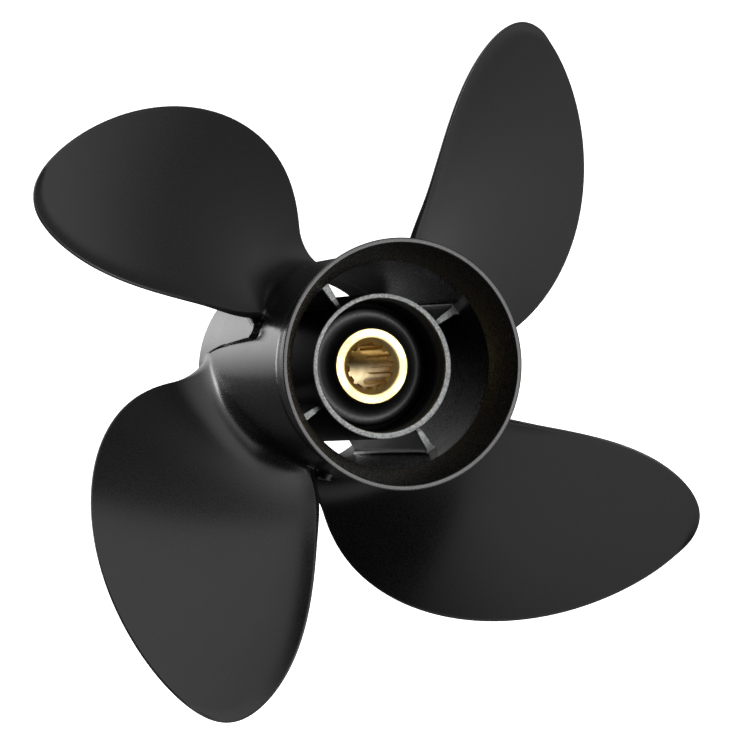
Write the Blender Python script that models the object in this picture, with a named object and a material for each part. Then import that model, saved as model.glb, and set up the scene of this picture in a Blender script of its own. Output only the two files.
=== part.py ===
"""Outboard-motor propeller: four blades on a through-hub-exhaust casting, cushioned on a splined sleeve.

Frame: metres, Z up. Y is the spin axis and +Y points forward, towards the gearcase. The origin is on
the axis, at the sleeve's front face, which seats on the shaft's thrust cone. Seen from behind the
propeller turns clockwise, and angles round the axis count clockwise from +Z in that view.
"""

from math import atan2, cos, exp, pi, radians, sin, sqrt

import bmesh
import bpy

MM = 0.001
GAP = 0.3 * MM  # clearance between neighbouring solids

# Driving dimensions
TIP_RADIUS = 177.8 * MM  # 14 in diameter
PITCH = 490.0 * MM  # advance in one turn, about 19 in
BLADES = 4
FIRST_BLADE = radians(-38.35)  # where the first blade's root stands at rest

BARREL_FRONT = 18.0 * MM
BARREL_REAR = -140.6 * MM
BARREL_RADIUS = 51.8 * MM
FLARE_FRONT = -122.4 * MM  # the barrel starts to flare towards its rear rim here
LIP_RADIUS = 56.5 * MM  # outer radius of the flared rim
LIP_LAND = 1.1 * MM  # width of the rim's flat rear face
LIP_ROUND = 0.5 * MM  # radius of the rounded edges on both sides of that face
BORE_REAR_RADIUS = 47.1 * MM  # the inner wall narrows forward by its casting draft
BORE_FRONT_RADIUS = 45.2 * MM
BORE_REAR = -123.3 * MM  # behind this the bore opens out into the flare
MOUTH_STEP = -12.0 * MM  # the wider mouth that fits over the gearcase starts here
MOUTH_RADIUS = 46.1 * MM

HUB_REAR = -110.6 * MM
HUB_FRONT = 4.0 * MM
HUB_REAR_RADIUS = 33.3 * MM
HUB_FRONT_RADIUS = 34.8 * MM
HUB_BORE_RADIUS = 30.4 * MM
SHOULDER_RADIUS = 21.0 * MM  # the front shoulder that the rubber is pressed against
SHOULDER_REAR = -3.0 * MM

RIB_ANGLE = radians(55.4)
RIB_REAR = -103.2 * MM
RIB_FRONT = MOUTH_STEP
RIB_REAR_WIDTH = 3.3 * MM
RIB_FRONT_WIDTH = 11.5 * MM

SLEEVE_REAR = -96.2 * MM
SLEEVE_RADIUS = 17.45 * MM
SLEEVE_RECESS_RADIUS = 13.1 * MM  # mouth of the 45 degree countersink that the spline starts in
SPLINE_FRONT = -60.0 * MM
SPLINE_TEETH = 13
SPLINE_MAJOR_RADIUS = 11.2 * MM
SPLINE_MINOR_RADIUS = 9.7 * MM
SLEEVE_BORE_RADIUS = 11.3 * MM
CONE_REAR = -14.0 * MM
CONE_RADIUS = 14.8 * MM

BUSH_LIP_REAR = -95.2 * MM  # the rubber climbs the sleeve to here
BUSH_FACE = -89.6 * MM  # where that climb starts, at its rounded outer edge
BUSH_CROWN_RADIUS = 27.3 * MM  # outer radius of the rear face, clear of the hub's bore
BUSH_CROWN_ROUND = 1.6 * MM
BUSH_SEAT_REAR = -84.0 * MM  # the rubber fills the hub's bore forward of this
BUSH_FRONT = SHOULDER_REAR - GAP

ROOT_THICKNESS = 10.5 * MM
TIP_THICKNESS = 3.2 * MM
EDGE_THICKNESS = 2.0 * MM
ROOT_DROOP = 4.8 * MM  # how far the leading edge bends back where the blade meets the barrel
ROOT_DROOP_FADE = 26.0 * MM
ROOT_CURL = 6.0 * MM  # and the trailing edge
ROOT_CURL_FADE = 14.0 * MM
ROOT_TRAIL = 9.0 * MM  # how far the trailing edge is cut back there
ROOT_TRAIL_FADE = 9.0 * MM

BLADE_STATIONS = 11  # sections from root to tip
CHORD_POINTS = 13
ROUND = 64  # segments round the barrel


def around(radius, angle, along):
    """The point at a radius and a clock angle about the spin axis."""
    return (radius * sin(angle), along, radius * cos(angle))


def material(name, colour, roughness, metallic):
    made = bpy.data.materials.new(name)
    made.use_nodes = True
    shader = made.node_tree.nodes["Principled BSDF"]
    shader.inputs["Base Color"].default_value = (*colour, 1.0)
    shader.inputs["Roughness"].default_value = roughness
    shader.inputs["Metallic"].default_value = metallic
    return made


def solid(name, loops, finish, closed=False):
    """One closed body through loops of equally many points. Unless the loops close into a ring, its
    first and last loops are capped by strips that join points mirrored across the loop."""
    bm = bmesh.new()
    rings = [[bm.verts.new(point) for point in loop] for loop in loops]
    pairs = list(zip(rings, rings[1:]))
    if closed:
        pairs.append((rings[-1], rings[0]))
    count = len(rings[0])
    for here, there in pairs:
        for i in range(count):
            j = (i + 1) % count
            bm.faces.new((here[i], here[j], there[j], there[i]))
    if not closed:
        for ring in (rings[0], rings[-1]):
            half = count // 2
            for i in range(half - 1):
                bm.faces.new((ring[i], ring[i + 1], ring[-i - 2], ring[-i - 1]))
    bmesh.ops.recalc_face_normals(bm, faces=bm.faces)
    mesh = bpy.data.meshes.new(name)
    bm.to_mesh(mesh)
    bm.free()
    mesh.shade_smooth()
    mesh.set_sharp_from_angle(angle=radians(35))
    mesh.materials.append(finish)
    made = bpy.data.objects.new(name, mesh)
    bpy.context.scene.collection.objects.link(made)
    return made


def turned(name, outline, finish, segments=ROUND):
    """A ring turned about the spin axis from a closed outline of (radius, along) points."""
    angles = [2 * pi * i / segments for i in range(segments)]
    loops = [[around(radius, angle, along) for angle in angles] for radius, along in outline]
    return solid(name, loops, finish, closed=True)


def arc(centre, radius, start, end, steps):
    """Points (radius, along) on an arc in the plane of the outline, from 0 degrees outward."""
    turns = [radians(start + (end - start) * i / steps) for i in range(steps + 1)]
    return [(centre[0] + radius * cos(t), centre[1] + radius * sin(t)) for t in turns]


def barrel_bore(along):
    """The radius of the barrel's drafted inner wall."""
    share = (along - BORE_REAR) / (MOUTH_STEP - BORE_REAR)
    return BORE_REAR_RADIUS + (BORE_FRONT_RADIUS - BORE_REAR_RADIUS) * share


def hub_skin(along):
    """The outer radius of the inner hub, which widens forward by its casting draft."""
    share = (along - HUB_REAR) / (HUB_FRONT - HUB_REAR)
    return HUB_REAR_RADIUS + (HUB_FRONT_RADIUS - HUB_REAR_RADIUS) * share


def outer_barrel(finish):
    """The exhaust barrel: rounded front edge, rear flare with a flat rim, drafted bore and wider mouth."""
    front_round = 3.0 * MM
    front_centre = (BARREL_RADIUS - front_round, BARREL_FRONT - front_round)
    lip_along = BARREL_REAR + LIP_ROUND
    outline = arc(front_centre, front_round, 90, 0, 3)
    outline += [(BARREL_RADIUS, FLARE_FRONT)]
    outline += arc((LIP_RADIUS - LIP_ROUND, lip_along), LIP_ROUND, 0, -90, 2)
    outline += arc((LIP_RADIUS - LIP_ROUND - LIP_LAND, lip_along), LIP_ROUND, -90, -160, 2)
    outline += [
        (BORE_REAR_RADIUS, BORE_REAR),
        (BORE_FRONT_RADIUS, MOUTH_STEP),
        (MOUTH_RADIUS, MOUTH_STEP),
        (MOUTH_RADIUS, BARREL_FRONT),
    ]
    return turned("outer_barrel", outline, finish)


def inner_hub(finish):
    """The tube that holds the rubber, with the front shoulder that it is pressed against."""
    chamfer = 0.8 * MM
    outline = [
        (HUB_FRONT_RADIUS - chamfer, HUB_FRONT),
        (HUB_FRONT_RADIUS, HUB_FRONT - chamfer),
        (HUB_REAR_RADIUS, HUB_REAR),
        (HUB_BORE_RADIUS, HUB_REAR),
        (HUB_BORE_RADIUS, SHOULDER_REAR),
        (SHOULDER_RADIUS, SHOULDER_REAR),
        (SHOULDER_RADIUS, HUB_FRONT),
    ]
    return turned("inner_hub", outline, finish)


def rib(number, finish):
    """A radial web that joins the inner hub to the barrel, thicker at the front."""
    angle = RIB_ANGLE + number * pi / 2
    loops = []
    for along, width in ((RIB_REAR, RIB_REAR_WIDTH), (RIB_FRONT, RIB_FRONT_WIDTH)):
        inner, outer = hub_skin(along) + 1.5 * GAP, barrel_bore(along) - 2 * GAP
        half = [(inner, 1 / 6), (inner, 1 / 2), (outer, 1 / 2), (outer, 1 / 6)]
        corners = half + [(radius, -side) for radius, side in half[::-1]]
        loops.append([around(r, angle + side * width / r, along) for r, side in corners])
    return solid(f"rib_{number + 1}", loops, finish)


def section(radius):
    """The blade's section at one radius, laid out on that cylinder: (chord, skew angle, middle, pitch)."""
    start = 66.9 * MM  # where the free outline leaves the root
    t = (radius - start) / (TIP_RADIUS - start)
    width = (117 + 91 * t + 28 * t**2 - 105 * t**3) * MM
    chord = max(sqrt(max(0.0, 1 - t * t)) * width, 4 * MM)
    skew = radians(-3.3 * t - 31.4 * t**2 + 10.1 * t**3)
    middle = (-45.5 - 46.5 * t - 9.4 * t**2) * MM
    slope = atan2(PITCH, 2 * pi * radius)
    trail = ROOT_TRAIL * exp((BARREL_RADIUS - radius) / ROOT_TRAIL_FADE)
    skew += trail / 2 * cos(slope) / radius
    return chord - trail, skew, middle + trail / 2 * sin(slope), slope


def blade(number, finish):
    """A helical pressure face and, ahead of it, a suction face at the section's thickness."""
    root = BARREL_RADIUS + 1.5 * GAP
    loops = []
    for j in range(BLADE_STATIONS):
        radius = root + (TIP_RADIUS - root) * sin(pi / 2 * j / (BLADE_STATIONS - 1))
        chord, skew, middle, slope = section(radius)
        outward = (TIP_RADIUS - radius) / (TIP_RADIUS - root)
        thick = TIP_THICKNESS + (ROOT_THICKNESS - TIP_THICKNESS) * outward**1.3
        droop = ROOT_DROOP * exp((BARREL_RADIUS - radius) / ROOT_DROOP_FADE)
        curl = ROOT_CURL * exp((BARREL_RADIUS - radius) / ROOT_CURL_FADE)
        faces = ([], [])
        for i in range(CHORD_POINTS):
            place = -0.5 * cos(pi * i / (CHORD_POINTS - 1))
            depth = EDGE_THICKNESS + (thick - EDGE_THICKNESS) * (1 - (2 * place) ** 2)
            bend = (droop if place > 0 else curl) * (2 * place) ** 2
            for face, lift in zip(faces, (-bend, depth - bend)):
                across = place * chord * cos(slope) - lift * sin(slope)
                along = middle + place * chord * sin(slope) + lift * cos(slope)
                angle = FIRST_BLADE + number * 2 * pi / BLADES + skew + across / radius
                face.append(around(radius, angle, along))
        loops.append(faces[0] + faces[1][::-1])
    return solid(f"blade_{number + 1}", loops, finish)


def rubber_bush(finish):
    """The cushion between sleeve and hub, whose rear face climbs to the sleeve as a cone."""
    inner = SLEEVE_RADIUS + GAP
    outer = HUB_BORE_RADIUS - GAP
    outline = [
        (inner, BUSH_FRONT),
        (outer, BUSH_FRONT),
        (outer, BUSH_SEAT_REAR),
        (BUSH_CROWN_RADIUS, BUSH_SEAT_REAR - 2 * MM),
    ]
    round_centre = (BUSH_CROWN_RADIUS - BUSH_CROWN_ROUND, BUSH_FACE + BUSH_CROWN_ROUND)
    outline += arc(round_centre, BUSH_CROWN_ROUND, 0, -90, 2)
    outline.append((inner, BUSH_LIP_REAR))
    return turned("rubber_bush", outline, finish)


def drive_sleeve(finish):
    """The splined sleeve: countersink, thirteen-tooth spline, relieved bore and thrust cone in turn."""
    steps = 6  # points to a tooth
    count = SPLINE_TEETH * steps
    tooth = [SPLINE_MAJOR_RADIUS if i % steps in (0, 1, 5) else SPLINE_MINOR_RADIUS for i in range(count)]
    sink = SLEEVE_REAR + SLEEVE_RECESS_RADIUS  # the countersink's apex

    def ring(radius, along):
        return [around(radius, 2 * pi * i / count, along) for i in range(count)]

    chamfer = 0.8 * MM
    loops = [
        ring(SLEEVE_RADIUS - chamfer, 0.0),
        ring(SLEEVE_RADIUS, -chamfer),
        ring(SLEEVE_RADIUS, SLEEVE_REAR + chamfer),
        ring(SLEEVE_RADIUS - chamfer, SLEEVE_REAR),
        ring(SLEEVE_RECESS_RADIUS, SLEEVE_REAR),
        [around(r, 2 * pi * i / count, sink - r) for i, r in enumerate(tooth)],
        [around(r, 2 * pi * i / count, SPLINE_FRONT) for i, r in enumerate(tooth)],
        ring(SLEEVE_BORE_RADIUS, SPLINE_FRONT),
        ring(SLEEVE_BORE_RADIUS, CONE_REAR),
        ring(CONE_RADIUS, 0.0),
    ]
    return solid("drive_sleeve", loops, finish, closed=True)


def main():
    for old in list(bpy.data.objects):
        bpy.data.objects.remove(old, do_unlink=True)
    paint = material("satin_black_paint", (0.018, 0.018, 0.019), 0.42, 0.0)
    cast = material("cast_aluminium", (0.48, 0.49, 0.50), 0.55, 1.0)
    rubber = material("black_rubber", (0.02, 0.02, 0.021), 0.5, 0.0)
    brass = material("machined_brass", (0.78, 0.60, 0.25), 0.3, 1.0)
    outer_barrel(paint)
    inner_hub(cast)
    for number in range(4):
        rib(number, paint)
    for number in range(BLADES):
        blade(number, paint)
    rubber_bush(rubber)
    drive_sleeve(brass)


main()
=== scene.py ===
"""Looks for the boat propeller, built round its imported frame.

Everything is in metres in the frame's axes: Y is the spin axis, +Y points forward to the gearcase, and Z
is up. Angles round the axis count clockwise from +Z as seen from behind, where the camera stands. Most
shapes are worked out as arrays of (angle, along, radius) and turned into points at the end.
"""

import bmesh
import bpy
import numpy as np
from mathutils import Matrix, Vector
from mathutils.geometry import delaunay_2d_cdt


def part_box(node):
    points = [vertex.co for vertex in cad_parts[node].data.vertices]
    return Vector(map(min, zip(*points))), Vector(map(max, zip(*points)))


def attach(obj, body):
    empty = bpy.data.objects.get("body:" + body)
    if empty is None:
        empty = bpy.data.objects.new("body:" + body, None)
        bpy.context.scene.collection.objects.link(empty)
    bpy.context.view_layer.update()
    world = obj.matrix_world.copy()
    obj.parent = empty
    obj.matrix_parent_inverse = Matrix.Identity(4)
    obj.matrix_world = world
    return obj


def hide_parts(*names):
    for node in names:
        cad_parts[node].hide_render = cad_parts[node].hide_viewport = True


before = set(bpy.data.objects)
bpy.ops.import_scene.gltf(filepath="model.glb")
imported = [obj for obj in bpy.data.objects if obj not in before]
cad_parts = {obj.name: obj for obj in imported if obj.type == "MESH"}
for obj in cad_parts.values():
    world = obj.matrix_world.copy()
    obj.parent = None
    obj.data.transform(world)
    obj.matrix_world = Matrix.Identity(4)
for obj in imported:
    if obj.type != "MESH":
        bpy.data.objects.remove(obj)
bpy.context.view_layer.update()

MM = 0.001
PI = np.pi
QUARTERS = [k * PI / 2 for k in range(4)]


def radii(node):
    """The nearest and the farthest distance of a node's points from the spin axis."""
    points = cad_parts[node].data.vertices
    reach = [np.hypot(point.co.x, point.co.z) for point in points]
    return min(reach), max(reach)


# Sizes read from the frame
BARREL_REAR, BARREL_FRONT = (corner[1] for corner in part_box("outer_barrel"))
BORE_FRONT_RADIUS, LIP_RADIUS = radii("outer_barrel")
ROOT_RADIUS, TIP_RADIUS = radii("blade_1")
BARREL_RADIUS = ROOT_RADIUS - 0.45 * MM  # the blade solids start this far off the barrel
HUB_REAR, HUB_FRONT = (corner[1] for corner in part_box("inner_hub"))
SHOULDER_RADIUS, HUB_FRONT_RADIUS = radii("inner_hub")
RIB_REAR, RIB_FRONT = (corner[1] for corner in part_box("rib_1"))
SLEEVE_REAR, SLEEVE_FRONT = (corner[1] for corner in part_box("drive_sleeve"))
SPLINE_MINOR_RADIUS, SLEEVE_RADIUS = radii("drive_sleeve")
BUSH_REAR, BUSH_FRONT = (corner[1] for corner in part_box("rubber_bush"))
BUSH_INNER_RADIUS, BUSH_OUTER_RADIUS = radii("rubber_bush")

# Sizes that the frame's boxes don't give, close to what the solids have
FLARE_FRONT = -122.4 * MM
LIP_LAND = 1.3 * MM
LIP_ROUND = 0.5 * MM
BORE_REAR = -123.3 * MM
BORE_REAR_RADIUS = 47.1 * MM
MOUTH_STEP = -12.0 * MM
MOUTH_RADIUS = 46.1 * MM
HUB_REAR_RADIUS = 33.3 * MM
HUB_BORE_RADIUS = 30.4 * MM
SHOULDER_REAR = -3.0 * MM
RIB_ANGLE = np.radians(55.4)
RIB_REAR_WIDTH = 3.3 * MM
RIB_FRONT_WIDTH = 11.8 * MM
SLEEVE_RECESS_RADIUS = 13.1 * MM
SPLINE_FRONT = -60.0 * MM
SPLINE_TEETH = 13
SPLINE_MAJOR_RADIUS = 11.2 * MM
SLEEVE_BORE_RADIUS = 11.3 * MM
CONE_REAR = -14.0 * MM
CONE_RADIUS = 14.8 * MM
BUSH_SEAT_REAR = -84.0 * MM
BUSH_FACE = -89.6 * MM  # where the rubber starts to climb up the sleeve
BUSH_HOLLOW_RADIUS = 24.3 * MM
BUSH_CROWN_RADIUS = 27.3 * MM

# The blade
PITCH = 490.0 * MM
FIRST_BLADE = np.radians(-38.35)
ROOT_THICKNESS = 10.5 * MM
TIP_THICKNESS = 3.2 * MM
ROOT_DROOP = 4.8 * MM  # how far the leading edge bends back where the blade meets the barrel
ROOT_DROOP_FADE = 26.0 * MM
ROOT_CURL = 3.8 * MM  # and the trailing edge
ROOT_CURL_FADE = 21.0 * MM
ROOT_TRAIL = 9.0 * MM  # how far the trailing edge is cut back there
ROOT_TRAIL_FADE = 9.0 * MM
EDGE_ROUND = 1.0 * MM  # radius of the rounded edges
ROOT_EDGE_ROUND = 2.1 * MM  # of the trailing edge where it meets the barrel
ROOT_EDGE_FADE = 14.0 * MM
ROOT_NOSE_ROUND = 3.2 * MM  # and of the leading edge
ROOT_NOSE_FADE = 20.0 * MM
WEAR_WIDTH = 0.7 * MM  # how far the worn paint reaches from an edge
CUP_HEIGHT = 1.5 * MM  # how far the trailing edge curls back
CUP_WIDTH = 9.0 * MM
CORE_SHIFT = Vector((0.28, 0.0, -0.30)) * MM  # of the inner hub's outer skin from its bore
HALF_CHORD_POINTS = 28
NOSE_POINTS = 8  # of those, the points round each edge
CROWDING = 1.4  # how much closer the others stand towards the edges
BLADE_ROWS = 56
FILLET_ROWS = 10

# The root fillet: its height up the blade, and its reach over the barrel
NOSE_FILLET = 18.0 * MM, 11.5 * MM  # at the leading edge
TAIL_FILLET = 4.0 * MM, 3.5 * MM  # at the trailing edge
PRESSURE_FILLET = 15.0 * MM  # height on the two faces
SUCTION_FILLET = 11.0 * MM
FACE_REACH = 0.92  # reach as a share of height there

# How the finishes look
PAINT_TONES = (0.0022, 0.0022, 0.0023), (0.0046, 0.0046, 0.0048)
WORN_TONE = (0.020, 0.020, 0.020)
CAST_TONES = (0.13, 0.133, 0.133), (0.33, 0.34, 0.335)
RUBBER_TONES = (0.004, 0.004, 0.0042), (0.010, 0.010, 0.0105)
BRASS_TONES = (0.82, 0.64, 0.30), (0.70, 0.51, 0.21)

SHELL_REAR = -113.0 * MM  # between these two the barrel's skin is stitched to the blades
SHELL_FRONT = BARREL_FRONT - 3.0 * MM
SHELL_POINTS = 240
SHELL_SPACING = 2.2 * MM


# ---------------------------------------------------------------- shared shape tools


def xyz(angle, along, radius):
    """Points from arrays of clock angle, place along the axis and radius."""
    return np.stack([radius * np.sin(angle), along + 0 * angle, radius * np.cos(angle)], axis=-1)


def smooth(value):
    """A smooth step from 0 to 1 as the value goes from 0 to 1."""
    value = np.clip(value, 0.0, 1.0)
    return value * value * (3 - 2 * value)


def lattice(rows, columns, first=0, wrap_rows=False):
    """Quads over a grid of points whose columns close into rings."""
    quads = []
    for row in range(rows if wrap_rows else rows - 1):
        here = first + row * columns
        there = first + (row + 1) % rows * columns
        for i in range(columns):
            j = (i + 1) % columns
            quads.append((here + i, here + j, there + j, there + i))
    return quads


def piece(name, points, faces, finish, sharp=40.0, marks=None):
    """A closed mesh object; marks is a value from 0 to 1 at each point, for its material."""
    mesh = bpy.data.meshes.new(name)
    mesh.from_pydata([tuple(map(float, point)) for point in points], [], faces)
    if marks is not None:
        layer = mesh.attributes.new("mark", "FLOAT", "POINT")
        layer.data.foreach_set("value", np.asarray(marks, np.float32))
    bm = bmesh.new()
    bm.from_mesh(mesh)
    bmesh.ops.remove_doubles(bm, verts=bm.verts, dist=2e-6)
    bmesh.ops.recalc_face_normals(bm, faces=bm.faces)
    loose = [edge for edge in bm.edges if len(edge.link_faces) != 2]
    if loose:
        print(f"{name}: {len(loose)} edges without two faces")
    bm.to_mesh(mesh)
    bm.free()
    mesh.shade_smooth()
    mesh.set_sharp_from_angle(angle=np.radians(sharp))
    mesh.materials.append(finish)
    made = bpy.data.objects.new(name, mesh)
    bpy.context.scene.collection.objects.link(made)
    return made


def turned(name, outline, finish, segments=160, sharp=40.0, marks=None):
    """A ring turned from a closed outline of (radius, along) points, with a mark for each point."""
    angles = np.linspace(0, 2 * PI, segments, endpoint=False)
    radius, along = np.array(outline).T
    points = xyz(angles[None, :], along[:, None], radius[:, None]).reshape(-1, 3)
    spread = None if marks is None else np.repeat(marks, segments)
    return piece(name, points, lattice(len(outline), segments, 0, True), finish, sharp, spread)


def arc(centre, radius, start, end, steps):
    """Points (radius, along) on an arc of an outline; 0 degrees points outward and 90 forward."""
    turns = np.radians(np.linspace(start, end, steps + 1))
    return [(centre[0] + radius * np.cos(t), centre[1] + radius * np.sin(t)) for t in turns]


def line(start, end, steps):
    """Points (radius, along) from start towards end, leaving the end out."""
    shares = np.arange(steps) / steps
    return [tuple(np.array(start) * (1 - s) + np.array(end) * s) for s in shares]


def barrel_bore(along):
    """The radius of the barrel's drafted inner wall."""
    share = (along - BORE_REAR) / (MOUTH_STEP - BORE_REAR)
    return BORE_REAR_RADIUS + (BORE_FRONT_RADIUS - BORE_REAR_RADIUS) * share


def hub_skin(along):
    """The outer radius of the inner hub."""
    share = (along - HUB_REAR) / (HUB_FRONT - HUB_REAR)
    return HUB_REAR_RADIUS + (HUB_FRONT_RADIUS - HUB_REAR_RADIUS) * share


# ---------------------------------------------------------------- blades


def section(radius):
    """The blade's section laid out on the cylinder of this radius: chord, skew, middle, pitch angle."""
    start = 66.9 * MM
    t = (radius - start) / (TIP_RADIUS - start)
    width = (117 + 91 * t + 28 * t**2 - 105 * t**3) * MM
    chord = np.sqrt(np.maximum(0.0, 1 - t * t)) * width
    skew = np.radians(-3.3 * t - 31.4 * t**2 + 10.1 * t**3)
    middle = (-45.5 - 46.5 * t - 9.4 * t**2) * MM
    slope = np.arctan2(PITCH, 2 * PI * radius)
    trail = ROOT_TRAIL * np.exp((BARREL_RADIUS - radius) / ROOT_TRAIL_FADE)
    skew = skew + trail / 2 * np.cos(slope) / radius
    return np.maximum(chord - trail, 0), skew, middle + trail / 2 * np.sin(slope), slope


def edge_lean(radius, side):
    """How fast an edge (side -0.5 trailing, 0.5 leading) drifts along the chord as the radius grows."""
    step = 0.05 * MM
    places = []
    for r in (np.minimum(radius, TIP_RADIUS - step), np.minimum(radius, TIP_RADIUS - step) - step):
        chord, skew, middle, slope = section(r)
        places.append(skew * r * np.cos(slope) + middle * np.sin(slope) + side * chord)
    return (places[0] - places[1]) / step


def loop_steps(index):
    """Loop points run from the trailing edge over the pressure face to the leading edge and back over the
    suction face. Gives (on the suction face, in the leading half, steps from the nearer edge)."""
    count = 2 * HALF_CHORD_POINTS
    suction = index > count
    step = np.where(suction, 2 * count - index, index)
    leading = step > HALF_CHORD_POINTS
    return suction, leading, np.where(leading, count - step, step)


def blade_points(radius, index):
    """(angle, along, radius, nearness to an edge) of loop points."""
    radius, index = np.broadcast_arrays(radius, index)
    suction, leading, step = loop_steps(index)
    chord, skew, middle, slope = section(radius)
    root = np.exp((BARREL_RADIUS - radius) / np.where(leading, ROOT_NOSE_FADE, ROOT_EDGE_FADE))
    edge = EDGE_ROUND + (np.where(leading, ROOT_NOSE_ROUND, ROOT_EDGE_ROUND) - EDGE_ROUND) * root
    nose = np.minimum(edge, 0.22 * chord)
    share = np.clip((step - NOSE_POINTS) / (HALF_CHORD_POINTS - NOSE_POINTS), 0, 1) ** CROWDING
    inset = nose * (1 - np.cos(PI / 2 * np.minimum(step, NOSE_POINTS) / NOSE_POINTS))
    inset = inset + (chord / 2 - nose) * share
    place = np.where(leading, chord / 2 - inset, inset - chord / 2)
    from_trailing = (chord / 2 + place) / np.hypot(1, edge_lean(radius, -0.5))
    from_leading = (chord / 2 - place) / np.hypot(1, edge_lean(radius, 0.5))
    nearest = np.maximum(np.minimum(from_trailing, from_leading), 0)
    fullness = np.sqrt(1 - (1 - np.minimum(nearest / edge, 1)) ** 2)
    outward = np.clip((TIP_RADIUS - radius) / (TIP_RADIUS - BARREL_RADIUS), 0, 1)
    thick = TIP_THICKNESS + (ROOT_THICKNESS - TIP_THICKNESS) * outward**1.3
    bow = 1 - (2 * place / np.maximum(chord, 1e-9)) ** 2
    thick = 2 * edge + (thick - 2 * edge) * np.clip(bow, 0, 1)
    lift = edge + fullness * np.where(suction, thick - edge, -edge)
    curl = CUP_HEIGHT * (1 - np.minimum(from_trailing / CUP_WIDTH, 1)) ** 2
    lift = lift - curl * smooth((radius - BARREL_RADIUS - 12 * MM) / (25 * MM))
    droop = ROOT_DROOP * np.exp((BARREL_RADIUS - radius) / ROOT_DROOP_FADE)
    bend = np.where(place > 0, droop, ROOT_CURL * np.exp((BARREL_RADIUS - radius) / ROOT_CURL_FADE))
    lift = lift - bend * (2 * place / np.maximum(chord, 1e-9)) ** 2
    across = place * np.cos(slope) - lift * np.sin(slope)
    along = middle + place * np.sin(slope) + lift * np.cos(slope)
    worn = np.where(leading, smooth((radius - BARREL_RADIUS - 15 * MM) / (25 * MM)), 1.0)
    return skew + across / radius, along, radius, worn * np.exp(-nearest / WEAR_WIDTH)


def fillet_sizes(index):
    """Height and reach of the root fillet at each loop point: broad on the faces, narrow at the edges, and
    small for longer on the suction face behind the trailing edge."""
    suction, leading, step = loop_steps(index)
    share = np.clip((step - NOSE_POINTS) / (HALF_CHORD_POINTS - NOSE_POINTS), 0, 1) ** CROWDING
    place = np.where(leading, 1 - share, share - 1)  # -1 at the trailing edge, 1 at the leading edge
    start = np.where(suction, -0.75, -1.0)
    growth = np.where(place < 0, smooth((place - start) / 0.75), smooth((1 - place) / 0.65))
    middle = np.where(suction, SUCTION_FILLET, PRESSURE_FILLET)
    sizes = []
    for nose, tail, face in zip(NOSE_FILLET, TAIL_FILLET, (middle, FACE_REACH * middle)):
        end = np.where(leading, nose, tail)
        sizes.append(end + (face - end) * growth)
    return sizes


def blade_grid():
    """Rows of loop points from the fillet's foot to the tip, as (angle, along, radius, nearness) arrays,
    for a blade whose root stands at angle 0."""
    loop = np.arange(4 * HALF_CHORD_POINTS)
    height, reach = fillet_sizes(loop)
    foot = np.full(len(loop), BARREL_RADIUS)
    angle, along, _, _ = blade_points(foot, loop)
    spread = np.stack([angle * BARREL_RADIUS, along])
    tangent = np.roll(spread, -1, axis=1) - np.roll(spread, 1, axis=1)
    tangent = tangent / np.hypot(*tangent)
    outward = np.stack([tangent[1], -tangent[0]]) * reach
    foot = foot + pad_height(angle + outward[0] / BARREL_RADIUS, along + outward[1])
    limit, room = SHELL_FRONT - 5.5 * MM, 4.8 * MM  # the feet stop short of the skin's front ring
    rows = []
    for turn in np.linspace(PI / 2, 0, FILLET_ROWS + 1)[:-1]:
        radius = foot + height * (1 - np.sin(turn))
        angle, along, _, near = blade_points(radius, loop)
        angle = angle + outward[0] * (1 - np.cos(turn)) / BARREL_RADIUS
        along = along + outward[1] * (1 - np.cos(turn))
        held = np.minimum(along, limit) + room * np.tanh(np.maximum(along - limit, 0) / room)
        along = along + (held - along) * np.sin(turn)
        rows.append((angle, along, radius, near * np.cos(turn) ** 2))
    for row in range(BLADE_ROWS + 1):
        share = np.sin(PI / 2 * row / BLADE_ROWS)
        radius = foot + height + (TIP_RADIUS - foot - height) * share
        rows.append(blade_points(radius, loop))
    grid = [np.stack([row[i] for row in rows]) for i in range(4)]
    for values in grid:
        values[-1] = values[-1].mean()  # the tip closes to one point
    return grid


# ---------------------------------------------------------------- the parting step on the barrel

# From beside the trailing edge's foot of one blade forward to the leading edge's foot of the next, as
# (degrees from the first blade's root, millimetres along the axis).
STEP_ROUTE = [(-38.5, -87), (-38.4, -78), (-38.5, -69), (-39.0, -55), (-39.6, -39.8), (-41.0, -16.3),
              (-44.2, 1.5), (-50.5, 12.7)]
STEP_WALL = 0.75 * MM
# The raised pad between that line and the blade: where its rounded rear end starts to rise, as (degrees,
# millimetres along the axis), over how much it rises, and its height by place along the axis
PAD_END = [(-38.6, -74), (-38.2, -77.2), (-37.5, -80), (-36.4, -82.3), (-35, -83.7), (-33.6, -84.1),
           (-32.2, -83.2), (-31, -81.0), (-29.5, -77.3), (-26.5, -70), (-10, -36)]
PAD_RAMP = 4.0 * MM
PAD_HEIGHT = [(-80, 3.2), (-60, 2.3), (-43, 1.6), (-16, 0.5), (6, 0.12), (12, 0)]


def step_curve(count=90):
    """Points (angle, along) on a smooth curve through the route."""
    route = np.array(STEP_ROUTE, float)
    ends = np.vstack([2 * route[0] - route[1], route, 2 * route[-1] - route[-2]])
    made = []
    spans = len(route) - 1
    for share in np.linspace(0, spans - 1e-6, count):
        i = int(share)
        t = share - i
        a, b, c, d = ends[i : i + 4]
        made.append(0.5 * (2 * b + (c - a) * t + (2 * a - 5 * b + 4 * c - d) * t**2
                           + (3 * b - a - 3 * c + d) * t**3))
    made = np.array(made)
    return np.stack([np.radians(made[:, 0]), made[:, 1] * MM])


STEP = step_curve()


def pad_end(angle):
    """Where along the axis the pad's rear end starts to rise, at angles from the first blade's root."""
    degrees, along = np.array(PAD_END).T
    return np.interp(np.degrees(angle), degrees, along) * MM


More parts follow.
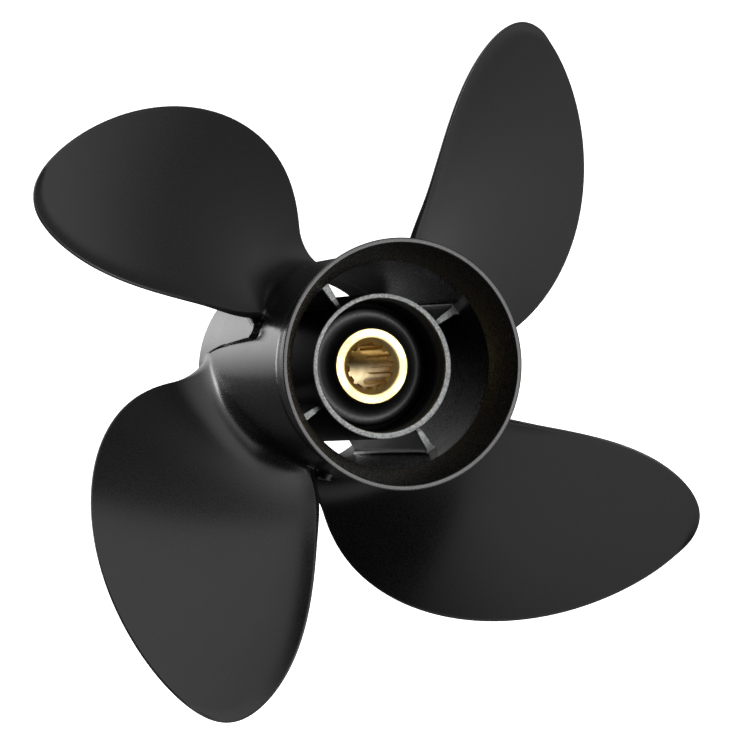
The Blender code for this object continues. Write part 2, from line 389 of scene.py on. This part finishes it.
def pad_height(angle, along):
    """How far the barrel's skin stands above its round at a place given from the first blade's root. The
    two halves of the mould don't quite meet: between each step and the blade's suction face the skin is
    higher, most of all beside the trailing edge."""
    route_angle = np.interp(along, STEP[1], STEP[0])
    _, skew, middle, slope = section(BARREL_RADIUS)
    chord_angle = skew + (along - middle) / np.tan(slope) / BARREL_RADIUS
    base = (np.asarray(angle, float) - route_angle) % (PI / 2)
    climb = np.clip((along - pad_end(base + route_angle)) / PAD_RAMP, 0, 1)
    wall = smooth(base * BARREL_RADIUS / STEP_WALL) * (1 - np.cos(PI / 2 * climb))
    places, heights = np.array(PAD_HEIGHT).T * MM
    inside = (base < chord_angle - route_angle) & (along < STEP[1][-1])
    return np.where(inside, wall * np.interp(along, places, heights), 0.0)


# ---------------------------------------------------------------- the casting's skin


def inside_polygon(points, polygon):
    """Which points of the plane lie inside a closed polygon."""
    x, y = points[:, 0], points[:, 1]
    found = np.zeros(len(points), bool)
    for (ax, ay), (bx, by) in zip(polygon, np.roll(polygon, -1, axis=0)):
        if ay == by:
            continue
        cross = ((ay > y) != (by > y)) & (x < (bx - ax) * (y - ay) / (by - ay) + ax)
        found ^= cross
    return found


def flatten(angle, along):
    """The barrel's skin mapped to a plane ring, with no seam and no change of angles."""
    reach = np.exp(along / BARREL_RADIUS)
    return np.stack([reach * np.cos(angle), reach * np.sin(angle)], axis=-1)


def skin_between(feet):
    """Triangles of the barrel's skin outside the blades' feet. Returns (angle, along) arrays and faces."""
    angles, alongs, edges = [], [], []
    feet_flat = [flatten(*foot) for foot in feet]

    def add(angle, along, joined, closed=False):
        first = sum(len(a) for a in angles)
        angles.append(angle)
        alongs.append(along)
        for i in np.flatnonzero(joined):
            last = i == len(angle) - 1
            if not last or closed:
                edges.append((first + i, first if last else first + i + 1))

    ring = np.linspace(0, 2 * PI, SHELL_POINTS, endpoint=False)
    for along in (SHELL_REAR, SHELL_FRONT):
        add(ring, along + 0 * ring, np.ones(SHELL_POINTS, bool), True)
    for angle, along in feet:
        add(angle, along, np.ones(len(angle), bool), True)
    fixed = np.vstack([flatten(a, y) for a, y in zip(angles, alongs)])

    def clear(angle, along, least):
        """Points outside the feet and this far from every point laid so far."""
        flat = flatten(angle, along)
        scale = np.hypot(*flat.T) / BARREL_RADIUS
        keep = np.ones(len(flat), bool)
        for start in range(0, len(flat), 400):
            part = flat[start : start + 400]
            gap = np.min(np.hypot(*(part[:, None] - fixed[None]).transpose(2, 0, 1)), axis=1)
            keep[start : start + 400] = gap > least * scale[start : start + 400]
        for foot in feet_flat:
            keep &= ~inside_polygon(flat, foot)
        return keep

    for quarter in QUARTERS:
        for side in (-0.35, 0.0, 0.25, 0.5, 0.75, 1.2, 2.0):
            angle = STEP[0] + side * MM / BARREL_RADIUS + FIRST_BLADE + quarter
            keep = clear(angle, STEP[1], 0.5 * MM) & (STEP[1] < SHELL_FRONT - 1.0 * MM)
            joined = keep[:-1] & keep[1:]
            joined = np.append(joined, False)[keep]
            add(angle[keep], STEP[1][keep], joined)
    fixed = np.vstack([flatten(a, y) for a, y in zip(angles, alongs)])
    across = np.radians(np.linspace(PAD_END[0][0], PAD_END[-2][0], 26))
    for quarter in QUARTERS:  # rows over the pad's rear end
        for rise in (0.0, 0.2, 0.4, 0.6, 0.8, 0.92, 1.0, 1.12, 1.3):
            angle, along = across + FIRST_BLADE + quarter, pad_end(across) + PAD_RAMP * rise
            keep = clear(angle, along, 0.3 * MM)
            add(angle[keep], along[keep], np.zeros(keep.sum(), bool))
    fixed = np.vstack([flatten(a, y) for a, y in zip(angles, alongs)])
    turns = int(2 * PI * BARREL_RADIUS / SHELL_SPACING)
    rows = int((SHELL_FRONT - SHELL_REAR) / (SHELL_SPACING * 0.87))
    for row in range(1, rows):
        angle = (np.arange(turns) + 0.5 * (row % 2)) * 2 * PI / turns
        along = np.full(turns, SHELL_REAR + (SHELL_FRONT - SHELL_REAR) * row / rows)
        keep = clear(angle, along, 0.9 * MM)
        add(angle[keep], along[keep], np.zeros(keep.sum(), bool))
    angle, along = np.concatenate(angles), np.concatenate(alongs)
    flat = flatten(angle, along)
    made = delaunay_2d_cdt([Vector(p) for p in flat], edges, [], 0, 1e-9, True)
    origin = [sources[0] if sources else -1 for sources in made[3]]
    triangles = np.array([[origin[i] for i in face] for face in made[2]])
    if (triangles < 0).any():
        print("skin: constraint lines cross")
    middles = flat[triangles].mean(axis=1)
    keep = np.hypot(*middles.T) > np.exp(SHELL_REAR / BARREL_RADIUS)
    keep &= ~(triangles < SHELL_POINTS).all(axis=1)
    for foot in feet_flat:
        keep &= ~inside_polygon(middles, foot)
    return angle, along, triangles[keep]


def barrel_outline():
    """(radius, along) of the rest of the barrel, from the skin's front ring through the bore to its rear
    ring."""
    front = (BARREL_RADIUS - 3.0 * MM, BARREL_FRONT - 3.0 * MM)
    outline = arc(front, 3.0 * MM, 0, 90, 8)
    outline += [(MOUTH_RADIUS + 1.0 * MM, BARREL_FRONT)]
    outline += arc((MOUTH_RADIUS + 0.8 * MM, BARREL_FRONT - 0.8 * MM), 0.8 * MM, 90, 180, 4)
    outline += line((MOUTH_RADIUS, BARREL_FRONT - 1.0 * MM), (MOUTH_RADIUS, MOUTH_STEP + 1.3 * MM), 8)
    relief = MOUTH_RADIUS + 0.5 * MM  # a groove left by the tool that turned the mouth
    outline += [(MOUTH_RADIUS, MOUTH_STEP + 1.3 * MM), (relief, MOUTH_STEP + 1.1 * MM)]
    outline += [(relief, MOUTH_STEP + 0.1 * MM), (MOUTH_RADIUS, MOUTH_STEP)]
    outline += [(BORE_FRONT_RADIUS + 0.3 * MM, MOUTH_STEP)]
    corner = (BORE_REAR_RADIUS, BORE_REAR)
    outline += line((BORE_FRONT_RADIUS, MOUTH_STEP - 0.3 * MM), (corner[0], corner[1] + 0.3 * MM), 24)
    outline += [(corner[0], corner[1] + 0.3 * MM), (corner[0] + 0.02 * MM, corner[1])]
    lip_along = BARREL_REAR + LIP_ROUND
    inner = arc((LIP_RADIUS - LIP_ROUND - LIP_LAND, lip_along), LIP_ROUND, -160, -90, 6)
    outer = arc((LIP_RADIUS - LIP_ROUND, lip_along), LIP_ROUND, -90, -10, 7)
    outline += line((corner[0] + 0.15 * MM, corner[1] - 0.3 * MM), inner[0], 10)
    outline += inner
    outline += [(LIP_RADIUS - LIP_ROUND - LIP_LAND * 0.5, BARREL_REAR)]
    outline += outer
    flare = (BARREL_RADIUS + 0.08 * MM, FLARE_FRONT - 0.3 * MM)
    outline += line((LIP_RADIUS - 0.15 * MM, lip_along + 0.5 * MM), flare, 12)
    outline += [flare, (BARREL_RADIUS + 0.01 * MM, FLARE_FRONT), (BARREL_RADIUS, FLARE_FRONT + 0.3 * MM)]
    score = -116.0 * MM  # the machined line
    outline += [(BARREL_RADIUS, score - 0.5 * MM), (BARREL_RADIUS - 0.22 * MM, score - 0.2 * MM)]
    outline += [(BARREL_RADIUS - 0.22 * MM, score + 0.2 * MM), (BARREL_RADIUS, score + 0.5 * MM)]
    outline += [(BARREL_RADIUS, SHELL_REAR)]
    return outline


def casting_shell(finish):
    """Barrel and blades as one closed skin."""
    angle, along, radius, near = blade_grid()
    feet = [(angle[0] + FIRST_BLADE + q, along[0]) for q in QUARTERS]
    skin_angle, skin_along, triangles = skin_between(feet)
    rise = pad_height(skin_angle - FIRST_BLADE, skin_along)
    points = [xyz(skin_angle, skin_along, BARREL_RADIUS + rise)]
    faces = [tuple(map(int, face)) for face in triangles]
    marks = [np.zeros(len(skin_angle))]
    count = len(skin_angle)
    for quarter in QUARTERS:
        points.append(xyz(angle + FIRST_BLADE + quarter, along, radius).reshape(-1, 3))
        faces += lattice(angle.shape[0], angle.shape[1], count)
        marks.append(near.reshape(-1))
        count += angle.size
    outline = np.array(barrel_outline())
    ring = np.linspace(0, 2 * PI, SHELL_POINTS, endpoint=False)
    points.append(xyz(ring[None], outline[:, 1:], outline[:, :1]).reshape(-1, 3))
    faces += lattice(len(outline), SHELL_POINTS, count)
    marks.append(np.zeros(len(outline) * SHELL_POINTS))
    return piece("casting_shell", np.vstack(points), faces, finish, 50.0, np.concatenate(marks))


# ---------------------------------------------------------------- hub, ribs, rubber and sleeve


def hub_tube(finish):
    """The inner hub, with its bare rear ring marked for the finish."""
    edge = 0.5 * MM
    outline = arc((HUB_REAR_RADIUS - edge, HUB_REAR + edge), edge, -90, 0, 4)
    outline += line((HUB_REAR_RADIUS, HUB_REAR + 1.5 * MM), (HUB_FRONT_RADIUS, HUB_FRONT - 2 * MM), 20)
    outline += arc((HUB_FRONT_RADIUS - 1.2 * MM, HUB_FRONT - 1.2 * MM), 1.2 * MM, 0, 90, 5)
    outline += line((HUB_FRONT_RADIUS - 2 * MM, HUB_FRONT), (SHOULDER_RADIUS + 1 * MM, HUB_FRONT), 5)
    outline += arc((SHOULDER_RADIUS + 0.6 * MM, HUB_FRONT - 0.6 * MM), 0.6 * MM, 90, 180, 3)
    outline += [(SHOULDER_RADIUS, SHOULDER_REAR)]
    outline += line((SHOULDER_RADIUS + 0.3 * MM, SHOULDER_REAR), (HUB_BORE_RADIUS, SHOULDER_REAR), 3)
    outline += line((HUB_BORE_RADIUS, SHOULDER_REAR), (HUB_BORE_RADIUS, HUB_REAR + 2 * MM), 12)
    outline += [(HUB_BORE_RADIUS, HUB_REAR + 0.9 * MM), (HUB_BORE_RADIUS + 0.55 * MM, HUB_REAR)]
    outline += [(HUB_BORE_RADIUS + 1.2 * MM, HUB_REAR)]
    marks = [1.0 if along < HUB_REAR + 0.7 * MM else 0.0 for _, along in outline]
    made = turned("hub_tube", outline, finish, 192, 40.0, marks)
    for point in made.data.vertices:  # the casting's core sat a little off the machined bore's centre
        if np.hypot(point.co.x, point.co.z) > HUB_BORE_RADIUS + 1.5 * MM:
            point.co += CORE_SHIFT
    return made


def rib_half(low, high, radius, share):
    """Half a web's width at a radius and a share of the way forward: narrow beside the hub at the rear,
    and rounded out into the walls."""
    out = (radius - low) / (high - low)
    narrow = RIB_REAR_WIDTH * (0.8 + 0.45 * np.clip(out, 0, 1))
    half = 0.5 * (narrow + (RIB_FRONT_WIDTH - RIB_REAR_WIDTH) * share**1.3)
    for gap, foot in ((high - radius, (2.4 + 0.8 * share) * MM), (radius - low, 2.6 * share * MM + 1e-6)):
        near = np.clip(1 - gap / foot, 0, 1)
        half = half + foot * 0.8 * (1 - np.sqrt(1 - 0.99 * near**2))
    return half


def rib_web(number, finish):
    """One web between hub and barrel. Loops round it at growing radius, each from the middle of its rear
    edge along one side to the middle of its front edge, and back."""
    middle = RIB_ANGLE + QUARTERS[number]
    edge = 0.45 * MM
    turns = np.linspace(0, PI / 2, 5)
    rear = [(edge * (1 - np.sin(t)), edge * (1 - np.cos(t))) for t in turns[::-1]]
    rear = [(0.0, None, s) for s in (0.0, 0.45)] + [(back, side, 1.0) for back, side in rear]
    length = RIB_FRONT - RIB_REAR
    spots = rear + [(length * s, 0.0, 1.0) for s in np.linspace(0.03, 0.97, 14)]
    spots += [(length - back, side, s) for back, side, s in rear[::-1]]
    loops, marks = [], []
    for step in np.linspace(0, PI, 34):
        place, half, rear_face_mark = [], [], []
        for back, side, share in spots:
            along = RIB_REAR + back
            low, high = hub_skin(along) - 0.25 * MM, barrel_bore(along) + 0.25 * MM
            radius = low + (high - low) * 0.5 * (1 - np.cos(step))
            wide = rib_half(low, high, radius, back / length)
            half.append(share * (wide - edge) if side is None else wide - side)
            place.append((along, radius))
            # mark for the rear end face: bare metal, but kept at the paint's colour within 2.4 mm of the
            # hub and blending to bare over the next 2 mm
            bare = 1 - smooth((back - 0.35 * MM) / (0.3 * MM))
            rear_face_mark.append(bare * smooth((radius - low - 2.4 * MM) / (2 * MM)))
        along, radius = np.array(place + place[::-1]).T
        side = np.array(half + [-h for h in half[::-1]])
        loops.append(xyz(middle + side / radius, along, radius))
        marks.append(rear_face_mark + rear_face_mark[::-1])
    columns = 2 * len(spots)
    faces = lattice(len(loops), columns)
    for first in (0, (len(loops) - 1) * columns):
        for i in range(len(spots) - 1):
            faces.append((first + i, first + i + 1, first + columns - i - 2, first + columns - i - 1))
    return piece(f"rib_web_{number + 1}", np.vstack(loops), faces, finish, 60.0, np.concatenate(marks))


def bush_ring(finish):
    """The rubber: a rounded rear edge, and a hollow face that sweeps up along the sleeve to a thin lip."""
    inner = BUSH_INNER_RADIUS
    outline = [(inner, BUSH_FRONT), (BUSH_OUTER_RADIUS - 1.0 * MM, BUSH_FRONT)]
    outline += arc((BUSH_OUTER_RADIUS - 1 * MM, BUSH_FRONT - 1 * MM), 1 * MM, 90, 0, 4)
    outline += line((BUSH_OUTER_RADIUS, BUSH_FRONT - 2 * MM), (BUSH_OUTER_RADIUS, BUSH_SEAT_REAR), 12)
    shoulder = BUSH_SEAT_REAR - 2.0 * MM
    for share in np.linspace(0, 1, 8):
        radius = BUSH_OUTER_RADIUS + (BUSH_CROWN_RADIUS - BUSH_OUTER_RADIUS) * smooth(share)
        outline.append((radius, BUSH_SEAT_REAR + (shoulder - BUSH_SEAT_REAR) * share))
    edge = 1.5 * MM
    outline += arc((BUSH_CROWN_RADIUS - edge, BUSH_FACE + 0.25 * MM + edge), edge, 0, -78, 8)
    outline += [(BUSH_HOLLOW_RADIUS + 0.8 * MM, BUSH_FACE)]
    top = inner + 0.35 * MM
    for turn in np.linspace(PI / 2, 0, 20):
        radius = BUSH_HOLLOW_RADIUS - (BUSH_HOLLOW_RADIUS - top) * np.cos(turn)
        outline.append((radius, BUSH_REAR + 0.2 * MM + (BUSH_FACE - BUSH_REAR - 0.2 * MM) * np.sin(turn)))
    outline += [(inner + 0.2 * MM, BUSH_REAR), (inner, BUSH_REAR + 0.15 * MM)]
    outline += line((inner, BUSH_REAR + 6 * MM), (inner, BUSH_FRONT), 10)
    return turned("bush_ring", outline, finish, 192, 50.0)


def spline_profile(count):
    """The bore's radius round the spline: square teeth, with small rounds in the corners of the grooves."""
    phase = (np.arange(count) / count * SPLINE_TEETH) % 1.0
    away = np.abs(phase - 0.5) * 2  # 0 at a tooth's middle, 1 at a groove's
    rise = smooth((away - 0.46) / 0.14)
    return SPLINE_MINOR_RADIUS + (SPLINE_MAJOR_RADIUS - SPLINE_MINOR_RADIUS) * rise


def sleeve_bush(finish):
    """The brass sleeve with its countersink, spline, relieved bore and thrust cone."""
    count = SPLINE_TEETH * 32
    ring = np.arange(count) / count * 2 * PI
    teeth = spline_profile(count)
    edge, break_edge = 0.35 * MM, 0.12 * MM
    rows = []

    def add(radius, along):
        rows.append(xyz(ring, along + 0 * ring, radius + 0 * ring))

    for radius, along in arc((SLEEVE_RADIUS - edge, SLEEVE_FRONT - edge), edge, 90, 0, 4):
        add(radius, along)
    for radius, along in line((SLEEVE_RADIUS, -1 * MM), (SLEEVE_RADIUS, SLEEVE_REAR + 1 * MM), 8):
        add(radius, along)
    for radius, along in arc((SLEEVE_RADIUS - edge, SLEEVE_REAR + edge), edge, 0, -90, 5):
        add(radius, along)
    lip = SLEEVE_RECESS_RADIUS + 0.25 * MM
    for share in (0.25, 0.5, 0.75, 1.0):
        add(SLEEVE_RADIUS - edge + (lip - SLEEVE_RADIUS + edge) * share, SLEEVE_REAR)
    add(SLEEVE_RECESS_RADIUS, SLEEVE_REAR + 0.12 * MM)
    for share in (0.35, 0.7, 1.0):  # a countersink, which cuts back the teeth's ends too
        reach = SLEEVE_RECESS_RADIUS + (SPLINE_MAJOR_RADIUS + 0.1 * MM - SLEEVE_RECESS_RADIUS) * share
        add(reach, SLEEVE_REAR + 0.12 * MM + SLEEVE_RECESS_RADIUS - reach)
    add(teeth + break_edge, SLEEVE_REAR + SLEEVE_RECESS_RADIUS - teeth)
    add(teeth, SLEEVE_REAR + 0.25 * MM + SLEEVE_RECESS_RADIUS - teeth)
    for along in np.linspace(SLEEVE_REAR + 5.4 * MM, SPLINE_FRONT - 1.5 * MM, 8):
        add(teeth, along)
    for share in (0.0, 0.35, 0.7, 1.0):
        add(teeth * (1 - share) + SLEEVE_BORE_RADIUS * share, SPLINE_FRONT - 1.2 * MM + 1.2 * MM * share)
    for along in np.linspace(SPLINE_FRONT + 2 * MM, CONE_REAR, 6):
        add(SLEEVE_BORE_RADIUS, along)
    for share in (0.25, 0.5, 0.75, 0.97):
        add(SLEEVE_BORE_RADIUS + (CONE_RADIUS - SLEEVE_BORE_RADIUS) * share, CONE_REAR * (1 - share))
    add(CONE_RADIUS + 0.1 * MM, SLEEVE_FRONT)
    faces = lattice(len(rows), count, 0, True)
    return piece("sleeve_bush", np.vstack(rows), faces, finish, 32.0)


# ---------------------------------------------------------------- materials


class Nodes:
    """A short way to write a material's nodes."""

    def __init__(self, made):
        self.made = made if isinstance(made, bpy.types.World) else bpy.data.materials.new(made)
        self.made.use_nodes = True
        self.tree = self.made.node_tree
        self.shader = self.tree.nodes.get("Principled BSDF")

    def node(self, kind, inputs=None, **settings):
        made = self.tree.nodes.new(kind)
        for key, value in settings.items():
            setattr(made, key, value)
        for key, value in (inputs or {}).items():
            self.feed(made.inputs[key], value)
        return made

    def feed(self, socket, value):
        if isinstance(value, bpy.types.NodeSocket):
            self.tree.links.new(value, socket)
        else:
            socket.default_value = value

    def place(self):
        return self.node("ShaderNodeTexCoord").outputs["Object"]

    def noise(self, scale, detail=2.0, rough=0.5, vector=None):
        inputs = {"Scale": scale, "Detail": detail, "Roughness": rough}
        made = self.node("ShaderNodeTexNoise", inputs)
        self.feed(made.inputs["Vector"], vector or self.place())
        return made.outputs["Fac"]

    def maths(self, kind, first, second, third=None):
        made = self.node("ShaderNodeMath", operation=kind)
        self.feed(made.inputs[0], first)
        self.feed(made.inputs[1], second)
        if third is not None:
            self.feed(made.inputs[2], third)
        return made.outputs[0]

    def spread(self, value, low, high, from_low=0.0, from_high=1.0):
        """Maps a value between two ranges, held at their ends."""
        inputs = {"Value": value, "From Min": from_low, "From Max": from_high}
        made = self.node("ShaderNodeMapRange", inputs)
        made.inputs["To Min"].default_value = low
        made.inputs["To Max"].default_value = high
        return made.outputs["Result"]

    def colours(self, value, low, high):
        """Mixes two colours; either may be a triple or another node's output."""
        made = self.node("ShaderNodeMix", data_type="RGBA")
        self.feed(made.inputs[0], value)
        for socket, colour in ((made.inputs[6], low), (made.inputs[7], high)):
            self.feed(socket, (*colour, 1.0) if isinstance(colour, tuple) else colour)
        return made.outputs[2]

    def mark(self):
        return self.node("ShaderNodeAttribute", attribute_name="mark").outputs["Fac"]

    def bump(self, height, strength, distance):
        inputs = {"Height": height, "Strength": strength, "Distance": distance}
        return self.node("ShaderNodeBump", inputs).outputs["Normal"]

    def finish(self, colour, rough, metallic, normal, **constants):
        self.feed(self.shader.inputs["Base Color"], colour)
        self.feed(self.shader.inputs["Roughness"], rough)
        self.feed(self.shader.inputs["Metallic"], metallic)
        self.feed(self.shader.inputs["Normal"], normal)
        for key, value in constants.items():
            self.shader.inputs[key.replace("_", " ")].default_value = value
        return self.made


def paint(name="satin_black_paint"):
    """Satin black enamel: a fine grain, slow changes of sheen, and edges where it wears thin."""
    n = Nodes(name)
    grain = n.noise(900.0, 3.0, 0.6)
    cloud = n.noise(28.0, 3.0, 0.55)
    tone = n.colours(n.spread(grain, 0, 1, 0.35, 0.65), *PAINT_TONES)
    edge = n.maths("MULTIPLY", n.mark(), n.spread(n.noise(160.0, 2.0), 0.55, 1.0, 0.3, 0.6))
    tone = n.colours(n.spread(edge, 0.0, 0.75), tone, WORN_TONE)
    rough = n.maths("ADD", n.spread(cloud, 0.25, 0.30, 0.3, 0.7), n.spread(grain, -0.03, 0.03, 0.3, 0.7))
    return n.finish(tone, rough, 0.0, n.bump(grain, 0.12, 0.00006), Specular_IOR_Level=0.5)


def bare_cast(name="painted_and_bare_casting"):
    """The same paint, giving way to sandy bare aluminium where the mark says so."""
    n = Nodes(name)
    grain = n.noise(1100.0, 4.0, 0.65)
    speck = n.noise(420.0, 3.0, 0.6)
    bare_tone = n.colours(n.spread(grain, 0, 1, 0.35, 0.65), *CAST_TONES)
    paint_tone = n.colours(n.spread(grain, 0, 1, 0.35, 0.65), *PAINT_TONES)
    ragged = n.maths("ADD", n.mark(), n.spread(speck, -0.25, 0.25, 0.3, 0.7))
    bare = n.spread(ragged, 0.0, 1.0, 0.42, 0.58)
    tone = n.colours(bare, paint_tone, bare_tone)
    rough = n.spread(bare, 0.28, 0.5)
    height = n.maths("ADD", grain, speck)
    metal = n.maths("MULTIPLY", bare, 0.85)
    return n.finish(tone, rough, metal, n.bump(height, 0.45, 0.00018), Specular_IOR_Level=0.5)


def rubber(name="bush_rubber"):
    """Black rubber with faint striations that run outward over the crown."""
    n = Nodes(name)
    split = n.node("ShaderNodeSeparateXYZ", {"Vector": n.place()})
    turn = n.maths("ARCTAN2", split.outputs["X"], split.outputs["Z"])
    out = n.node("ShaderNodeVectorMath", operation="LENGTH")
    flat = n.node("ShaderNodeCombineXYZ", {"X": split.outputs["X"], "Z": split.outputs["Z"]})
    n.feed(out.inputs[0], flat.outputs[0])
    rays = n.node("ShaderNodeCombineXYZ", {
        "X": n.maths("MULTIPLY", turn, 26.0),
        "Y": n.maths("MULTIPLY", out.outputs["Value"], 160.0),
    })
    streak = n.noise(1.6, 3.0, 0.55, rays.outputs[0])
    grain = n.noise(1500.0, 2.0, 0.5)
    tone = n.colours(n.spread(streak, 0, 1, 0.3, 0.7), *RUBBER_TONES)
    rough = n.spread(streak, 0.30, 0.46, 0.3, 0.7)
    height = n.maths("ADD", n.maths("MULTIPLY", streak, 0.7), n.maths("MULTIPLY", grain, 0.3))
    return n.finish(tone, rough, 0.0, n.bump(height, 0.35, 0.0002), Specular_IOR_Level=0.5)


def brass(name="machined_brass"):
    """Turned brass: fine rings left by the tool, and a warmer, duller tone in places."""
    n = Nodes(name)
    split = n.node("ShaderNodeSeparateXYZ", {"Vector": n.place()})
    flat = n.node("ShaderNodeCombineXYZ", {"X": split.outputs["X"], "Z": split.outputs["Z"]})
    out = n.node("ShaderNodeVectorMath", operation="LENGTH")
    n.feed(out.inputs[0], flat.outputs[0])
    rings = n.node("ShaderNodeCombineXYZ", {
        "X": n.maths("MULTIPLY", out.outputs["Value"], 2600.0),
        "Y": n.maths("MULTIPLY", split.outputs["Y"], 1500.0),
    })
    turned_lines = n.noise(1.0, 2.0, 0.5, rings.outputs[0])
    tarnish = n.noise(130.0, 3.0, 0.6)
    tone = n.colours(n.spread(tarnish, 0, 1, 0.35, 0.7), *BRASS_TONES)
    turned_rough = n.spread(turned_lines, -0.03, 0.04, 0.3, 0.7)
    rough = n.maths("ADD", n.spread(tarnish, 0.27, 0.40, 0.3, 0.7), turned_rough)
    return n.finish(tone, rough, 1.0, n.bump(turned_lines, 0.15, 0.00008))


# ---------------------------------------------------------------- studio


def softbox(name, place, target, size, power):
    """A rectangular light at a place, facing a target."""
    light = bpy.data.lights.new(name, "AREA")
    light.shape = "RECTANGLE"
    light.size, light.size_y = size
    light.energy = power
    made = bpy.data.objects.new(name, light)
    bpy.context.scene.collection.objects.link(made)
    made.location = place
    made.rotation_euler = (Vector(target) - Vector(place)).to_track_quat("-Z", "Y").to_euler()
    made.visible_camera = False
    return made


def studio_floor():
    """A pale seamless floor that sweeps up far behind the object on every side."""
    mesh = bpy.data.meshes.new("floor")
    bm = bmesh.new()
    level = -TIP_RADIUS - 0.03
    segments = 72
    turns = np.linspace(0, 2 * PI, segments, endpoint=False)
    rings = [(0.001, 0.0), (0.5, 0.0), (1.5, 0.0), (3.0, 0.0), (6.0, 0.0)]
    rings += [(9.0, 0.4), (11.0, 2.0), (12.0, 6.0)]
    loops = [[bm.verts.new((r * np.sin(a), r * np.cos(a), level + z)) for a in turns] for r, z in rings]
    for here, there in zip(loops, loops[1:]):
        for i in range(segments):
            j = (i + 1) % segments
            bm.faces.new((here[i], here[j], there[j], there[i]))
    bm.to_mesh(mesh)
    bm.free()
    mesh.shade_smooth()
    made = bpy.data.objects.new("floor", mesh)
    bpy.context.scene.collection.objects.link(made)
    n = Nodes("pale_floor")
    n.shader.inputs["Base Color"].default_value = (0.9, 0.9, 0.9, 1.0)
    n.shader.inputs["Roughness"].default_value = 0.9
    n.shader.inputs["Emission Color"].default_value = (1.0, 1.0, 1.0, 1.0)
    n.shader.inputs["Emission Strength"].default_value = 0.97
    mesh.materials.append(n.made)
    made.visible_diffuse = False
    made.visible_glossy = False
    made.visible_shadow = False


def studio_world():
    """White where the camera looks past the floor. For the light: a bright wall ahead of the propeller to
    its left, a pale ceiling and table behind it, and a darker room at the height of the camera."""
    world = bpy.data.worlds.new("studio")
    bpy.context.scene.world = world
    n = Nodes(world)
    way = n.node("ShaderNodeSeparateXYZ", {"Vector": n.node("ShaderNodeTexCoord").outputs["Generated"]})
    right, ahead, high = (way.outputs[axis] for axis in "XYZ")

    def ease(value, low, high):
        """0 at one value and 1 at the other, eased at both."""
        made = n.node("ShaderNodeMapRange", {"Value": value, "From Min": low, "From Max": high},
                      interpolation_type="SMOOTHSTEP")
        return made.outputs["Result"]

    def product(*factors):
        made = factors[0]
        for factor in factors[1:]:
            made = n.maths("MULTIPLY", made, factor)
        return made

    beyond = n.maths("MULTIPLY_ADD", right, 0.55, ahead)
    drop = n.maths("MULTIPLY_ADD", ease(right, -0.45, -0.85), -0.45, high)
    ceiling = product(ease(drop, 0.08, 0.50), ease(beyond, 0.30, -0.25), 1.15)
    ceiling = n.maths("ADD", ceiling, product(ease(high, 0.0, 0.45), ease(right, 0.3, 0.8), 0.04))
    lee = n.maths("MULTIPLY_ADD", right, -0.5, ahead)
    table = product(ease(high, -0.02, -0.60), ease(lee, 0.45, 0.05), 0.72)
    side = product(ease(right, 0.3, 0.9), ease(high, -0.5, -0.1), 0.20)
    side = n.maths("ADD", side, product(ease(right, -0.05, 0.30), 0.04))
    wall = product(ease(high, -0.10, 0.26), ease(right, 0.22, -0.28), ease(ahead, 0.05, 0.55), 2.4)
    level = n.maths("ADD", n.maths("ADD", ceiling, table), n.maths("ADD", side, wall))
    level = n.maths("ADD", level, product(ease(ahead, 0.2, -0.6), 0.05))
    level = n.maths("ADD", level, 0.004)
    glow = n.node("ShaderNodeBackground", {"Color": (1.0, 1.0, 1.0, 1.0), "Strength": level})
    white = n.node("ShaderNodeBackground", {"Color": (1.0, 1.0, 1.0, 1.0)})
    seen = n.node("ShaderNodeLightPath").outputs["Is Camera Ray"]
    both = n.node("ShaderNodeMixShader", {0: seen, 1: glow.outputs[0], 2: white.outputs[0]})
    n.tree.links.new(both.outputs[0], n.tree.nodes["World Output"].inputs["Surface"])


def studio_lights():
    """A softbox behind the propeller to the right, on the machined faces' mirror line, and a strip ahead
    to the left that draws the fillets' highlights."""
    reach = 1.6
    softbox("rear_softbox", (0.32 * reach, -0.948 * reach - 0.1, 0.02), (0, -0.1, 0), (0.68, 0.68), 9.0)
    softbox("left_strip", (-1.21, 1.02, 0.20), (0, 0, 0), (0.55, 0.60), 7.5)


def camera():
    """Behind the propeller, a little to its left and just below its axis."""
    azimuth, elevation = np.radians(-18.633), np.radians(-1.142)
    right = np.array([np.cos(azimuth), np.sin(azimuth), 0.0])
    back = np.array([np.sin(azimuth) * np.cos(elevation), -np.cos(azimuth) * np.cos(elevation),
                     np.sin(elevation)])
    up = np.cross(back, right)
    place = back * 1.45873 + right * 0.027517 - up * 0.002267
    data = bpy.data.cameras.new("camera")
    data.sensor_width = 36.0
    data.lens = 142.8
    data.clip_end = 50.0
    made = bpy.data.objects.new("camera", data)
    bpy.context.scene.collection.objects.link(made)
    turn = Matrix((right, up, back)).transposed().to_4x4()
    made.matrix_world = Matrix.Translation(Vector(place)) @ turn
    bpy.context.scene.camera = made


def main():
    camera()
    studio_floor()
    studio_world()
    studio_lights()
    bpy.context.scene.view_settings.view_transform = "Standard"
    black, cast = paint(), bare_cast()
    shell = casting_shell(black)
    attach(shell, "casting")
    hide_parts("outer_barrel", "blade_1", "blade_2", "blade_3", "blade_4")
    hub = hub_tube(cast)
    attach(hub, "casting")
    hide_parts("inner_hub")
    for number in range(4):
        web = rib_web(number, cast)
        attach(web, "casting")
        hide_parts(f"rib_{number + 1}")
    bush = bush_ring(rubber())
    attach(bush, "cushion")
    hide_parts("rubber_bush")
    sleeve = sleeve_bush(brass())
    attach(sleeve, "sleeve")
    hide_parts("drive_sleeve")


main()
